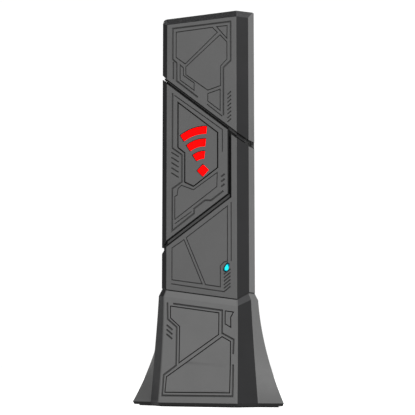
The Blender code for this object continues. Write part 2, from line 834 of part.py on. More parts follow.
def contact_bars(low_depth, low, high):
    bars = []
    for place_number in (-1.5, -0.5, 0.5, 1.5):
        x = place_number * contact_pitch
        bars.append(((x - contact_width / 2, depth(low_depth), low),
                     (x + contact_width / 2, depth(low_depth + contact_thickness), high)))
    return bars


def sleeve(name, half_across, half_up, corner, sheet, low, high, centre):
    """Rounded rectangular tube that stands upright."""
    outer = extruded(name, rounded_rectangle(half_across, half_up, corner, centre), low, high)
    inner = rounded_rectangle(half_across - sheet, half_up - sheet,
                              max(corner - sheet, corner / 4), centre)
    cut(outer, extruded(name + "_inside", inner, low - beyond, high + beyond))
    return outer


def make_plug():
    tail_z = neck_floor_z + plug_tail
    shell = sleeve("usb_plug_shell", plug_width / 2, plug_thickness / 2, plug_corner,
                   plug_sheet, plug_tip_z, tail_z, (0, plug_y))
    finish(shell, nickel_steel, adapter)
    tongue_half = plug_width / 2 - plug_sheet - fit_gap
    front = plug_depth - plug_thickness / 2 + plug_sheet + fit_gap
    tongue = box("usb_plug_tongue", *plug_box(tongue_half, front, front + tongue_thickness,
                                              plug_tip_z + fit_gap, tail_z))
    finish(tongue, liner_black, adapter)
    bars = contact_bars(front + tongue_thickness + fit_gap / 2, plug_tip_z + 1.5 * mm,
                        tail_z - 1.0 * mm)
    row_of("plug_contact", bars, gold_contact, adapter)


def make_receptacle():
    foot = board_z_top + fit_gap
    mouth = neck_floor_z - 2 * fit_gap - liner_floor
    shell = sleeve("receptacle_shell", plug_width / 2 + fit_gap + plug_sheet,
                   plug_thickness / 2 + fit_gap + plug_sheet, plug_corner + fit_gap,
                   plug_sheet, foot, mouth, (0, plug_y))
    finish(shell, nickel_steel, cradle)
    block_half = plug_width / 2
    block = box("receptacle_tongue",
                *plug_box(block_half, plug_depth - plug_thickness / 2,
                          plug_depth + plug_thickness / 2, foot + fit_gap,
                          plug_tip_z - fit_gap))
    back = plug_depth + plug_thickness / 2 - plug_sheet - fit_gap
    leaf = box("receptacle_leaf",
               *plug_box(plug_width / 2 - plug_sheet - fit_gap, back - tongue_thickness, back,
                         foot + 2 * fit_gap, mouth - fit_gap))
    join(block, leaf)
    finish(block, liner_black, cradle)
    bars = contact_bars(back - tongue_thickness - fit_gap / 2 - contact_thickness,
                        plug_tip_z + 1.0 * mm, mouth - 1.5 * mm)
    row_of("receptacle_contact", bars, gold_contact, cradle)


# ------------------------------------------------------------------------ cradle shell

def foot_section():
    """The cradle's widest outline, with the same corners as the stick's section."""
    edge = cradle_front_y
    wing = Vector((base_width / 2, edge + foot_wing_depth))
    rear = Vector((foot_rear_half, base_depth / 2))
    share = (half_width - front_half) / rear_chamfer
    between = wing.lerp(rear, share)
    right = [Vector((front_half + foot_front_flare, edge)),
             Vector((half_width + foot_corner_flare, edge + foot_corner_depth)),
             wing, between, rear]
    left = [Vector((-point.x, point.y)) for point in right]
    return [left[0], *right, *reversed(left[1:])]


def ease(share, straight):
    """Share of the flare at a share of the height, part straight and part curved."""
    return straight * share + (1 - straight) * share * share


# How straight each corner's line is, from the front corner round to the rear.
front_line, corner_line, wing_line = 0.1, 0.8, 0.3
right_lines = [front_line, corner_line, wing_line, wing_line, wing_line]
corner_lines = [right_lines[0], *right_lines, *reversed(right_lines[1:])]


def flare_outline(share):
    """The cradle from above, from share 0 under the rim's bevel to share 1 at the foot."""
    top = section(-rim_step)
    return [Vector(high).lerp(low, ease(share, line))
            for high, low, line in zip(top, foot_section(), corner_lines)]


def flare_ring(share, inset=0.0):
    """Corners of the cradle at a share of the flare, in space."""
    outline = flare_outline(share)
    rim = [rim_z(point[0]) - rim_bevel for point in section()]
    heights = [widest_z + (1 - share) * (height - widest_z) for height in rim]
    return [Vector((*point, height))
            for point, height in zip(inset_outline(outline, inset), heights)]


def flat_ring(outline, height):
    return [Vector((*point, height)) for point in outline]


def loft(name, rings):
    """Closed solid through rings of equal count, listed from the top down.

    The top ring may follow the rim's V, so its cap is split along the V's lowest line,
    which joins the right-hand front corner to the point on the right-hand rear chamfer.
    """
    bm = bmesh.new()
    rows = [[bm.verts.new(point) for point in ring] for ring in rings]
    count = len(rows[0])
    for upper, lower in zip(rows, rows[1:]):
        for index in range(count):
            after = (index + 1) % count
            bm.faces.new((lower[index], lower[after], upper[after], upper[index]))
    front_corner, rear_corner = 1, 4
    top = rows[0]
    bm.faces.new(top[front_corner:rear_corner + 1])
    bm.faces.new(top[rear_corner:] + top[:front_corner + 1])
    bm.faces.new(list(reversed(rows[-1])))
    bmesh.ops.recalc_face_normals(bm, faces=bm.faces)
    mesh = bpy.data.meshes.new(name)
    bm.to_mesh(mesh)
    bm.free()
    return place(name, mesh)


def flare_rings(first, inset=0.0):
    return [flare_ring(first + (1 - first) * level / flare_levels, inset)
            for level in range(flare_levels + 1)]


def outer_loft(name):
    rim = [Vector((*point, rim_z(point.x))) for point in section()]
    foot = flat_ring(inset_outline(foot_section(), shell_taper), shell_low_z)
    return loft(name, [rim, *flare_rings(0.0), foot])


def inner_loft(name, inset):
    """Inside of the flare, from under the rim's collar down past the foot."""
    collar_share = 0.05
    foot = flat_ring(inset_outline(foot_section(), inset), shell_low_z - beyond)
    return loft(name, [*flare_rings(collar_share, inset), foot])


def shell_boss_places():
    """Two bosses in the wings and two behind, each over a base screw."""
    wing = (wing_boss_x, cradle_front_y + foot_wing_depth + wing_boss_inset[1])
    rear = (foot_rear_half - rear_boss_inset[0], base_depth / 2 - rear_boss_inset[1])
    return [(side * x, y) for side in (-1, 1) for x, y in (wing, rear)]


def boss_web(name, x, y, low, high):
    """Upright web from a boss out through the wall, sideways or, behind, backwards."""
    half = shell_boss_web / 2
    low += half
    high -= half
    if y > 0:
        return box(name, (x - half, y + half, low), (x + half, base_depth, high))
    near, far = sorted((x + math.copysign(half, x), math.copysign(base_width, x)))
    return box(name, (near, y - half, low), (far, y + half, high))


def inlet_outline(grow):
    half_up = inlet_height / 2 + grow
    return rounded_rectangle(inlet_width / 2 + grow, half_up, half_up * 0.96, (0, inlet_z))


def make_cradle_shell():
    shell = outer_loft("cradle_shell")
    cut(shell, inner_loft("shell_inside", shell_wall),
        extruded("neck_way", section(well_inset), neck_floor_z, rim_z(-half_width) + beyond))
    low = plate_top + fit_gap
    high = low + shell_boss_height
    for number, (x, y) in enumerate(shell_boss_places()):
        boss = cylinder(f"shell_boss_{number}", shell_boss_radius, low, high, (x, y))
        join(boss, boss_web(f"boss_web_{number}", x, y, low, high))
        keep(boss, inner_loft(f"boss_limit_{number}", shell_wall / 2))
        join(shell, boss)
    for number, centre in enumerate(shell_boss_places()):
        cut(shell, cylinder(f"shell_pilot_{number}", screw_radius + fit_gap, 0,
                            plate_top + shell_boss_height * 0.7, centre))
    cut(shell, extruded("inlet_way", inlet_outline(fit_gap), inlet_back_y - 2 * mm,
                        base_depth / 2 + beyond, "Y"))
    finish(shell, panel_grey, cradle)


# -------------------------------------------------------------------- cradle internals

def make_liner():
    """Cup that guides the neck, on four legs that stand on the cradle's board."""
    rim_under = rim_low_z - rim_bevel
    top = rim_under - liner_rim_drop
    floor_top = neck_floor_z - fit_gap
    low = floor_top - liner_floor
    liner = extruded("socket_liner", section(well_inset - liner_wall), low, top)
    cut(liner, extruded("liner_room", section(well_inset), floor_top, top + beyond),
        extruded("liner_plug_way",
                 rounded_rectangle(plug_width / 2 + fit_gap, plug_thickness / 2 + fit_gap,
                                   plug_corner + fit_gap, (0, plug_y)),
                 low - beyond, floor_top + fit_gap))
    leg = liner_leg_half
    leg_x = front_half - liner_leg_inset
    leg_depths = (front_chamfer, body_depth - front_chamfer)
    for number, (side, back) in enumerate((side, back) for side in (-1, 1) for back in leg_depths):
        join(liner, box(f"liner_leg_{number}",
                        (side * leg_x - leg, depth(back) - leg, board_z_top + fit_gap),
                        (side * leg_x + leg, depth(back) + leg, low + liner_floor / 2)))
    finish(liner, liner_black, cradle)


def post_places():
    return [(side * (wing_boss_x - post_inset), plug_y + post_setback) for side in (-1, 1)]


def make_cradle_board():
    back = shell_boss_places()[1][1] - shell_boss_radius - 2 * fit_gap
    side = wing_boss_x - shell_boss_radius - cradle_board_side_gap
    right = [(side - cradle_board_corner, front_y), (side, front_y + cradle_board_corner),
             (side, back), (cradle_tail_half_width, back),
             (cradle_tail_half_width, inlet_back_y)]
    outline = right + [(-x, y) for x, y in reversed(right)]
    board = extruded("cradle_board", outline, cradle_board_z, board_z_top)
    for number, centre in enumerate(post_places()):
        cut(board, cylinder(f"board_hole_{number}", screw_radius + fit_gap,
                            cradle_board_z - beyond, board_z_top + beyond, centre))
    finish(board, board_green, cradle)


def upright_screws(name, places, head_radius, shank, head):
    """Like screws, each a node of its own. shank and head are lowest and highest Z."""
    for number, centre in enumerate(places, 1):
        screw = cylinder(f"{name}_{number}", screw_radius, *shank, centre)
        join(screw, cylinder(f"{name}_head_{number}", head_radius, *head, centre))
        finish(screw, zinc_steel, cradle)


def make_base():
    top_share = 1 - (plate_top - widest_z) / (rim_low_z - rim_bevel - widest_z)
    plate = extruded("base_plate",
                     inset_outline(flare_outline(top_share), shell_wall + fit_gap),
                     plate_z, plate_top)
    post_top = cradle_board_z - fit_gap
    for number, centre in enumerate(post_places()):
        join(plate, cylinder(f"post_{number}", post_radius, plate_top - fit_gap, post_top,
                             centre))
    for number, centre in enumerate(post_places()):
        cut(plate, cylinder(f"post_pilot_{number}", screw_radius + fit_gap,
                            plate_top - plate_thickness / 2, post_top + beyond, centre))
    head_room = base_screw_head_height + fit_gap
    for number, centre in enumerate(shell_boss_places()):
        cut(plate,
            cylinder(f"plate_hole_{number}", screw_radius + fit_gap, -beyond,
                     plate_top + fit_gap, centre),
            cylinder(f"plate_sink_{number}", base_screw_head_radius + fit_gap, -beyond,
                     plate_z + head_room, centre))
    finish(plate, liner_black, cradle)

    upright_screws("base_screw", shell_boss_places(), base_screw_head_radius,
                   (plate_z + head_room / 2, plate_top + shell_boss_height * 0.6),
                   (plate_z, plate_z + base_screw_head_height))
    board_head_z = board_z_top + fit_gap
    upright_screws("board_screw", post_places(), screw_head_radius,
                   (plate_top, board_head_z + screw_head_height / 2),
                   (board_head_z, board_head_z + screw_head_height))

    half_across = wing_boss_x - shell_boss_radius - ballast_side_gap
    rear_limit = shell_boss_places()[1][1] - shell_boss_radius - 2 * fit_gap
    front_limit = cradle_front_y + shell_wall + ballast_front_gap
    ballast = box("ballast_plate", (-half_across, front_limit, plate_top + fit_gap),
                  (half_across, rear_limit, plate_top + fit_gap + ballast_thickness))
    for number, centre in enumerate(post_places()):
        cut(ballast, cylinder(f"ballast_hole_{number}", post_radius + fit_gap, 0,
                              cradle_board_z, centre))
    finish(ballast, zinc_steel, cradle)

    pad = extruded("foot_pad", inset_outline(foot_section(), pad_inset), 0, pad_thickness)
    finish(pad, rubber_black, cradle)


def make_inlet():
    front = inlet_back_y - inlet_length
    shell = extruded("inlet_shell", inlet_outline(0), front, inlet_back_y, "Y")
    cut(shell, extruded("inlet_inside", inlet_outline(-inlet_sheet), front + inlet_sheet,
                        inlet_back_y + beyond, "Y"))
    finish(shell, nickel_steel, cradle)
    half_across = inlet_width / 2 - inlet_tongue_margin
    tongue = box("inlet_tongue",
                 (-half_across, front + 2 * inlet_sheet, inlet_z - inlet_tongue_half),
                 (half_across, inlet_back_y - 2 * inlet_sheet, inlet_z + inlet_tongue_half))
    finish(tongue, liner_black, cradle)


# ---------------------------------------------------------------------------- assembly

make_covers()
make_rear_shell()
make_mid_frame()
make_emblem()
make_status_lens()
make_shell_screws()
make_board()
make_heat_path()
make_antennas()
make_plug()
make_receptacle()
make_cradle_shell()
make_liner()
make_cradle_board()
make_base()
make_inlet()
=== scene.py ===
"""Looks of the wireless adapter and its desk cradle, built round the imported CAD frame.

Lengths are in metres in the frame's own axes: +Z up, the front faces -Y and +X is to the
right. The adapter's covers, emblem panel, rear shell and middle frame and the cradle's
shell are made again here, with dark chamfers, rounded edges on all but the middle frame,
and engraved lines on all but the emblem panel. The other CAD nodes stay and get materials.
"""

import json
import math

import bmesh
import bpy
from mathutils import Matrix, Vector


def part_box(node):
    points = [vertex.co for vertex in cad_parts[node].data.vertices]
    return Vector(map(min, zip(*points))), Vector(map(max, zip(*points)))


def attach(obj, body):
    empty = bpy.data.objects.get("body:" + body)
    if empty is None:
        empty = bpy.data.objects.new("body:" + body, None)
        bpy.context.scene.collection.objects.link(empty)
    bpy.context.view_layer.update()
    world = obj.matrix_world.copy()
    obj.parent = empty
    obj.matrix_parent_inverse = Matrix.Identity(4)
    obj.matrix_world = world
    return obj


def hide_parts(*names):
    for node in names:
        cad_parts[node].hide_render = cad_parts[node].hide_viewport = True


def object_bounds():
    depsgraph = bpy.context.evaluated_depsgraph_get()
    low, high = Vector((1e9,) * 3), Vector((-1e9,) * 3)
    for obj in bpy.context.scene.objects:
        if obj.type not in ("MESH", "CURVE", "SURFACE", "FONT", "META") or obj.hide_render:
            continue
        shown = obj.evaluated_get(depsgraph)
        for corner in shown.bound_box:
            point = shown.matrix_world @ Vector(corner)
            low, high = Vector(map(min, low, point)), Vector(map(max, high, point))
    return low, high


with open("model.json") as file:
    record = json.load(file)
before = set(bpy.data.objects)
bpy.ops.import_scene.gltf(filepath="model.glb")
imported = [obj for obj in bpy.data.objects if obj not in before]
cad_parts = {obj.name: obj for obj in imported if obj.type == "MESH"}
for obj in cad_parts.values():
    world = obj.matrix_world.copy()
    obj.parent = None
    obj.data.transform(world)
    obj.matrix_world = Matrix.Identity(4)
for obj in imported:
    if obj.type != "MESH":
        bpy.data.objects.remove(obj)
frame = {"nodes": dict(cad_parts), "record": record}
cad_low, cad_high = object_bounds()

mm = 0.001

# ------------------------------------------------------- places read from the CAD frame

base_low, base_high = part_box("cradle_shell")
inlet_low, inlet_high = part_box("inlet_shell")
neck_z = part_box("mid_frame")[0].z

top_z = cad_high.z
front_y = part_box("middle_cover")[0].y
back_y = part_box("rear_shell")[1].y
half_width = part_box("upper_cover")[1].x
body_depth = back_y - front_y
base_front_y = base_low.y
base_back_y = base_high.y
base_half = base_high.x
seam_gap = 0.3 * mm
split_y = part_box("upper_cover")[1].y + seam_gap

# ---------------------------------------------------------------------- design values

# Adapter's section, as in the CAD
front_chamfer = 3.5 * mm
rear_chamfer = 5.2 * mm
front_half = half_width - front_chamfer
rear_half = half_width - rear_chamfer
rim_low_z = 39.3 * mm
rim_left_slope = 0.148
rim_right_slope = 0.743
rim_step = 1.1 * mm
rim_bevel = 2.4 * mm
well_inset = 1.4 * mm
channel_depth = 0.75 * mm
shell_wall = 1.2 * mm

# Cradle's foot, as in the CAD
foot_front_half = 15.8 * mm
foot_corner = (22.0 * mm, 6.2 * mm)
foot_wing_depth = 8.6 * mm
foot_rear_half = 21.5 * mm
foot_taper = 0.4 * mm
widest_z = 1.5 * mm

# Finish
edge_round = 0.18 * mm
fine_round = 0.15 * mm
seam_closing = 0.27 * mm
seam_line = 0.32 * mm
crease_round = 0.3 * mm
line_width = 0.4 * mm
hatch_width = 0.55 * mm
border_width = 0.75 * mm
line_depth = 0.32 * mm
ridge_line_width = 0.6 * mm
vent_width = 0.9 * mm
vent_depth = 0.8 * mm
near = 0.05 * mm
overshoot = 5 * mm

# Where noise mostly lies, between 0 and 1
noise_low = 0.3
noise_high = 0.7

# Camera and lights
camera_place = (0.1721, -0.4071, 0.0163)
camera_yaw = math.radians(23.17)
camera_pitch = math.radians(6.34)
camera_lens = 100
camera_shift = 0.065
camera_sensor = 36
camera_clip = 0.01
light_distance = 0.9
light_size = 0.5
backdrop_seen = 1.05
backdrop_cast = 0.45
floor_half = 4.0
floor_gap = 0.02 * mm
floor_grey = 0.45
floor_glow = 0.8

# Index of each finish in the material list of a cover or the cradle's shell. The fourth is
# painted shade and the fifth the cradle's front painted lighter; the third is a facet grey that
# the cradle also uses as painted light.
panel_face, chamfer_face, facet_and_painted_light_face, painted_shade_face, base_painted_light_face = range(5)

# --------------------------------------------------------------------------- materials


def new_material(name, colour, roughness, metallic=0.0, specular=0.5):
    """Material with a Principled shader, whose constant values sit on its own sockets."""
    made = bpy.data.materials.new(name)
    made.use_nodes = True
    shader = made.node_tree.nodes["Principled BSDF"]
    shader.inputs["Base Color"].default_value = (*colour, 1)
    shader.inputs["Roughness"].default_value = roughness
    shader.inputs["Metallic"].default_value = metallic
    shader.inputs["Specular IOR Level"].default_value = specular
    return made


def shader_of(material):
    return material.node_tree.nodes["Principled BSDF"]


def add_node(material, kind, **inputs):
    made = material.node_tree.nodes.new(kind)
    for name, value in inputs.items():
        made.inputs[name].default_value = value
    return made


def link(material, source, target):
    material.node_tree.links.new(source, target)


def noise(material, scale, stretch=(1, 1, 1), detail=3.0):
    """Noise over the piece's own coordinates. scale is in blotches per metre."""
    coordinates = add_node(material, "ShaderNodeTexCoord")
    mapping = add_node(material, "ShaderNodeMapping", Scale=stretch)
    texture = add_node(material, "ShaderNodeTexNoise", Scale=scale, Detail=detail)
    link(material, coordinates.outputs["Object"], mapping.inputs["Vector"])
    link(material, mapping.outputs["Vector"], texture.inputs["Vector"])
    return texture.outputs["Fac"]


def vary_colour(material, spread, scale, stretch=(1, 1, 1)):
    """Cloudy change of the base colour, by a share lighter and darker."""
    shader = shader_of(material)
    colour = shader.inputs["Base Color"].default_value[:3]
    ramp = add_node(material, "ShaderNodeValToRGB")
    low, high = ramp.color_ramp.elements
    low.position = noise_low
    high.position = noise_high
    low.color = (*(channel * (1 - spread) for channel in colour), 1)
    high.color = (*(channel * (1 + spread) for channel in colour), 1)
    link(material, noise(material, scale, stretch), ramp.inputs["Fac"])
    link(material, ramp.outputs["Color"], shader.inputs["Base Color"])


def vary_roughness(material, spread, scale, stretch=(1, 1, 1)):
    shader = shader_of(material)
    middle = shader.inputs["Roughness"].default_value
    limits = {"From Min": noise_low, "From Max": noise_high,
              "To Min": middle - spread, "To Max": middle + spread}
    span = add_node(material, "ShaderNodeMapRange", **limits)
    link(material, noise(material, scale, stretch), span.inputs["Value"])
    link(material, span.outputs["Result"], shader.inputs["Roughness"])


def add_bump(material, height, source, strength=1.0):
    bump = add_node(material, "ShaderNodeBump", Distance=height, Strength=strength)
    link(material, source, bump.inputs["Height"])
    link(material, bump.outputs["Normal"], shader_of(material).inputs["Normal"])


def moulded(name, colour, roughness, grain=0.012 * mm, specular=0.5, spread=0.06):
    """Spark-eroded moulded plastic: fine even grain with faint clouding."""
    made = new_material(name, colour, roughness, specular=specular)
    vary_colour(made, spread, 90)
    vary_roughness(made, 0.05, 400)
    add_bump(made, grain, noise(made, 2600, detail=2.0))
    return made


def metal(name, colour, roughness, stretch=(1, 1, 1), scratch=0.004 * mm):
    """Drawn or plated metal. stretch sets the way its fine lines run."""
    made = new_material(name, colour, roughness, metallic=1.0)
    vary_colour(made, 0.07, 300, stretch)
    vary_roughness(made, 0.08, 900, stretch)
    add_bump(made, scratch, noise(made, 3000, stretch, detail=4.0))
    return made


def lit_lens(name, colour, glow, dim, strength, source):
    """Lens lit from behind: glow where source is high, and dim where it is low."""
    full_glow = 0.42
    made = new_material(name, colour, 0.35, specular=0.08)
    shader = shader_of(made)
    shader.inputs["Emission Strength"].default_value = strength
    ramp = add_node(made, "ShaderNodeValToRGB")
    low, high = ramp.color_ramp.elements
    low.color = (*dim, 1)
    high.position = full_glow
    high.color = (*glow, 1)
    link(made, source(made), ramp.inputs["Fac"])
    link(made, ramp.outputs["Color"], shader.inputs["Emission Color"])
    vary_roughness(made, 0.04, 500)
    return made


def even_glow(material):
    return noise(material, 160, detail=1.0)


def centred_glow(material):
    """1 in the middle of a small lens's face, down to 0 at its rim."""
    coordinates = add_node(material, "ShaderNodeTexCoord")
    mapping = add_node(material, "ShaderNodeMapping", Location=(-1, 0, -1), Scale=(2, 0, 2))
    gradient = add_node(material, "ShaderNodeTexGradient")
    gradient.gradient_type = "SPHERICAL"
    link(material, coordinates.outputs["Generated"], mapping.inputs["Vector"])
    link(material, mapping.outputs["Vector"], gradient.inputs["Vector"])
    return gradient.outputs["Fac"]


def solder_mask(name):
    """Green board: copper tracks show as paler, slightly raised lines under the mask."""
    cells_per_metre = 420
    band_size = 0.22
    track_edge = 0.15
    made = new_material(name, (0.012, 0.10, 0.045), 0.35)
    coordinates = add_node(made, "ShaderNodeTexCoord")
    cells = add_node(made, "ShaderNodeTexVoronoi", Scale=cells_per_metre, Randomness=0.75)
    cells.distance = "MANHATTAN"
    cells.feature = "F1"
    bands = add_node(made, "ShaderNodeMath")
    bands.operation = "PINGPONG"
    bands.inputs[1].default_value = band_size
    tracks = add_node(made, "ShaderNodeValToRGB")
    low, high = tracks.color_ramp.elements
    tracks.color_ramp.interpolation = "CONSTANT"
    low.color = (0.010, 0.085, 0.04, 1)
    high.position = track_edge
    high.color = (0.02, 0.17, 0.07, 1)
    link(made, coordinates.outputs["Object"], cells.inputs["Vector"])
    link(made, cells.outputs["Distance"], bands.inputs[0])
    link(made, bands.outputs["Value"], tracks.inputs["Fac"])
    link(made, tracks.outputs["Color"], shader_of(made).inputs["Base Color"])
    add_bump(made, 0.02 * mm, tracks.outputs["Color"])
    return made


panel_grey = moulded("panel_grey", (0.074, 0.074, 0.074), 0.6, specular=0.25, spread=0.03)
# Painted light: the cradle's front face is a lighter grey than the panel, standing in for more
# light from above on its flare.
base_grey = moulded("base_grey", (0.093, 0.093, 0.093), 0.6, specular=0.25, spread=0.03)
chamfer_black = moulded("chamfer_black", (0.018, 0.018, 0.0185), 0.5, 0.004 * mm, 0.01, 0.05)
# Mid-grey for the covers' top corner facets; on the cradle it is painted light on the left corner
# band and the right rim facet.
facet_grey = moulded("facet_grey", (0.031, 0.031, 0.032), 0.5, 0.006 * mm, 0.05, 0.05)
# Painted shade: near-black for channel walls, the seam and neck well, vents, under the foot and
# fine lines.
groove_black = moulded("groove_black", (0.012, 0.012, 0.012), 0.6, specular=0.1)
# Painted shade inside the engraved lines, darker than the panel.
line_grey = moulded("line_grey", (0.042, 0.042, 0.042), 0.6, specular=0.1)
ridge_grey = moulded("ridge_grey", (0.042, 0.042, 0.042), 0.5, 0.008 * mm, 0.25)
liner_black = moulded("liner_black", (0.018, 0.018, 0.019), 0.55)
chip_black = moulded("chip_black", (0.02, 0.02, 0.021), 0.6, 0.02 * mm)
foot_rubber = moulded("foot_rubber", (0.012, 0.012, 0.012), 0.85, 0.03 * mm, 0.3, 0.15)
thermal_blue = moulded("thermal_blue", (0.16, 0.28, 0.42), 0.75, 0.03 * mm)
diffuser_white = moulded("diffuser_white", (0.8, 0.8, 0.78), 0.5)
lens_red = lit_lens("lens_red", (0.55, 0.0, 0.0), (1.0, 0.0, 0.0), (0.9, 0.0, 0.0), 1.25,
                    even_glow)
lens_cyan = lit_lens("lens_cyan", (0.0, 0.12, 0.14), (0.02, 0.9, 1.0), (0.0, 0.08, 0.16), 1.2,
                     centred_glow)
board_green = solder_mask("board_green")
nickel_steel = metal("nickel_steel", (0.62, 0.62, 0.6), 0.32, (1, 1, 12))
gold_contact = metal("gold_contact", (0.86, 0.60, 0.20), 0.26, (1, 1, 10))
aluminium = metal("aluminium", (0.70, 0.71, 0.72), 0.38, (12, 1, 1))
zinc_steel = metal("zinc_steel", (0.46, 0.46, 0.47), 0.4, (1, 1, 1), 0.008 * mm)

finishes = {
    "panel_grey": panel_grey, "frame_black": ridge_grey, "lens_red": lens_red,
    "lens_cyan": lens_cyan, "diffuser_white": diffuser_white, "board_green": board_green,
    "nickel_steel": nickel_steel, "gold_contact": gold_contact, "chip_black": chip_black,
    "thermal_pad": thermal_blue, "aluminium": aluminium, "liner_black": liner_black,
    "zinc_steel": zinc_steel, "foot_rubber": foot_rubber,
}


def paint_cad_nodes():
    """Every CAD node gets the finish of its material slot in the record."""
    for part in frame["record"]["subparts"]:
        node = frame["nodes"][part["node"]]
        if not node.material_slots:
            node.data.materials.append(None)
        for held in node.material_slots:
            held.material = finishes[part["material_slot"]]


# ----------------------------------------------------------------------- mesh helpers


def new_object(name, bm):
    mesh = bpy.data.meshes.new(name)
    bm.to_mesh(mesh)
    bm.free()
    made = bpy.data.objects.new(name, mesh)
    bpy.context.scene.collection.objects.link(made)
    return made


def bake(piece):
    """Replace a piece's mesh with its evaluated one, and drop its modifiers."""
    bpy.context.view_layer.update()
    graph = bpy.context.evaluated_depsgraph_get()
    mesh = bpy.data.meshes.new_from_object(piece.evaluated_get(graph))
    piece.modifiers.clear()
    piece.data = mesh


def subtract(piece, cutters):
    """Cut every object of a list out of the piece. The cuts keep the cutters' material."""
    held = bpy.data.collections.new("cutters")
    bpy.context.scene.collection.children.link(held)
    for cutter in cutters:
        bpy.context.scene.collection.objects.unlink(cutter)
        held.objects.link(cutter)
    modifier = piece.modifiers.new("cut", "BOOLEAN")
    modifier.operation = "DIFFERENCE"
    modifier.solver = "EXACT"
    modifier.operand_type = "COLLECTION"
    modifier.collection = held
    modifier.material_mode = "TRANSFER"
    bake(piece)
    for cutter in cutters:
        bpy.data.objects.remove(cutter)
    bpy.data.collections.remove(held)


def clean_copy(node):
    """The CAD node's mesh, with its split vertices welded and its flat faces made whole."""
    weld = 0.002 * mm
    flat = math.radians(0.5)
    bm = bmesh.new()
    bm.from_mesh(frame["nodes"][node].data)
    bmesh.ops.remove_doubles(bm, verts=bm.verts, dist=weld)
    bmesh.ops.dissolve_limit(bm, angle_limit=flat, verts=bm.verts, edges=bm.edges)
    return bm


def dress(piece, *materials):
    for material in materials:
        piece.data.materials.append(material)


def soften(piece, width, material):
    """Round a piece's edges, with a material index for the rounding, or -1 for its own."""
    modifier = piece.modifiers.new("soften", "BEVEL")
    modifier.width = width
    modifier.segments = 2
    modifier.limit_method = "ANGLE"
    modifier.angle_limit = math.radians(30)
    modifier.use_clamp_overlap = True
    modifier.material = material
    bake(piece)


def present(piece, body, slot, *nodes):
    """Ride a finished piece on its body, in the place of its CAD nodes."""
    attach(piece, body)
    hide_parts(*nodes)


# ----------------------------------------------------------------------- engraved lines


def mitres(path, closed):
    """For each point of a path, the sideways vector that keeps both its sides parallel."""
    found = []
    for index, here in enumerate(path):
        before = path[index - 1] if closed or index else None
        after = path[(index + 1) % len(path)] if closed or index + 1 < len(path) else None
        runs = [(here - before).normalized()] if before else []
        runs += [(after - here).normalized()] if after else []
        sides = [Vector((-run.y, run.x)) for run in runs]
        total = sum(sides, Vector((0, 0)))
        found.append(total * (len(sides) / total.length_squared))
    return found


def even_steps(path, closed, step=4 * mm):
    """The same path with points added, so that it follows a curved face."""
    corners = path + path[:1] if closed else path
    points = []
    for start, end in zip(corners, corners[1:]):
        count = max(1, math.ceil((end - start).length / step))
        points += [start.lerp(end, number / count) for number in range(count)]
    return points if closed else points + [corners[-1]]


def flat_front(x, z):
    return front_y


def flat_back(x, z):
    return back_y


def ridge_front(x, z):
    return front_y + channel_depth


def groove(points, closed=True, width=line_width, surface=flat_front, depth=line_depth,
           ink=line_grey, inwards=1):
    """Cutter for one engraved line with sloping sides; its cut faces take its material, painted
    shade in the groove. points are x and z in millimetres.
    """
    path = even_steps([Vector(point) * mm for point in points], closed)
    lift = 0.2 * mm
    floor_share = 0.35
    floor = floor_share * width / 2
    slope = (width / 2 - floor) / depth
    mouth = width / 2 + lift * slope
    section = ((1, mouth, -lift), (-1, mouth, -lift), (-1, floor, depth), (1, floor, depth))
    bm = bmesh.new()
    rows = []
    for here, mitre in zip(path, mitres(path, closed)):
        row = []
        for side, reach, down in section:
            x, z = here + mitre * side * reach
            row.append(bm.verts.new((x, surface(x, z) + inwards * down, z)))
        rows.append(row)
    pairs = list(zip(rows, rows[1:] + rows[:1])) if closed else list(zip(rows, rows[1:]))
    for near, far in pairs:
        for index in range(4):
            after = (index + 1) % 4
            bm.faces.new((near[index], near[after], far[after], far[index]))
    if not closed:
        bm.faces.new(rows[0])
        bm.faces.new(list(reversed(rows[-1])))
    bmesh.ops.triangulate(bm, faces=bm.faces)
    bmesh.ops.recalc_face_normals(bm, faces=bm.faces)
    cutter = new_object("groove", bm)
    dress(cutter, ink)
    return cutter


def slashes(count, start, step, run, **options):
    """Row of short parallel lines, each a step from the last."""
    start, step, run = Vector(start), Vector(step), Vector(run)
    return [groove([start + step * number, start + step * number + run], False, **options)
            for number in range(count)]


def upper_lines():
    return [
        groove([(9.1, 109.2), (9.1, 127.6), (12.1, 130.1), (12.1, 145.3), (-12.1, 145.3),
                (-12.1, 133.1), (-10.4, 131.5), (-10.4, 124.4), (-1.4, 117.1)], False,
               border_width),
        groove([(-11.8, 132.0), (-11.8, 125.2)], False, border_width),
        groove([(-10.6, 143.7), (4.6, 143.9), (6.7, 141.7), (-6.7, 130.7), (-10.6, 133.7)]),
        groove([(6.4, 143.9), (10.7, 143.9), (10.6, 138.9)]),
        groove([(7.8, 140.6), (10.6, 137.5), (10.6, 130.8), (8.0, 128.4), (8.0, 120.8),
                (2.7, 119.5), (-6.5, 126.5), (-6.5, 129.5)]),
        groove([(-8.9, 130.6), (-8.9, 124.6), (-3.0, 120.0), (-3.0, 122.9), (-7.5, 126.3),
                (-7.5, 129.2)]),
        groove([(2.7, 118.2), (7.8, 119.4), (7.8, 111.2), (2.7, 115.3)]),
        groove([(2.4, 114.1), (8.7, 108.9)], False),
        *slashes(8, (10.8, 106.5), (0, 1.5), (1.5, 1.2), width=hatch_width),
    ]


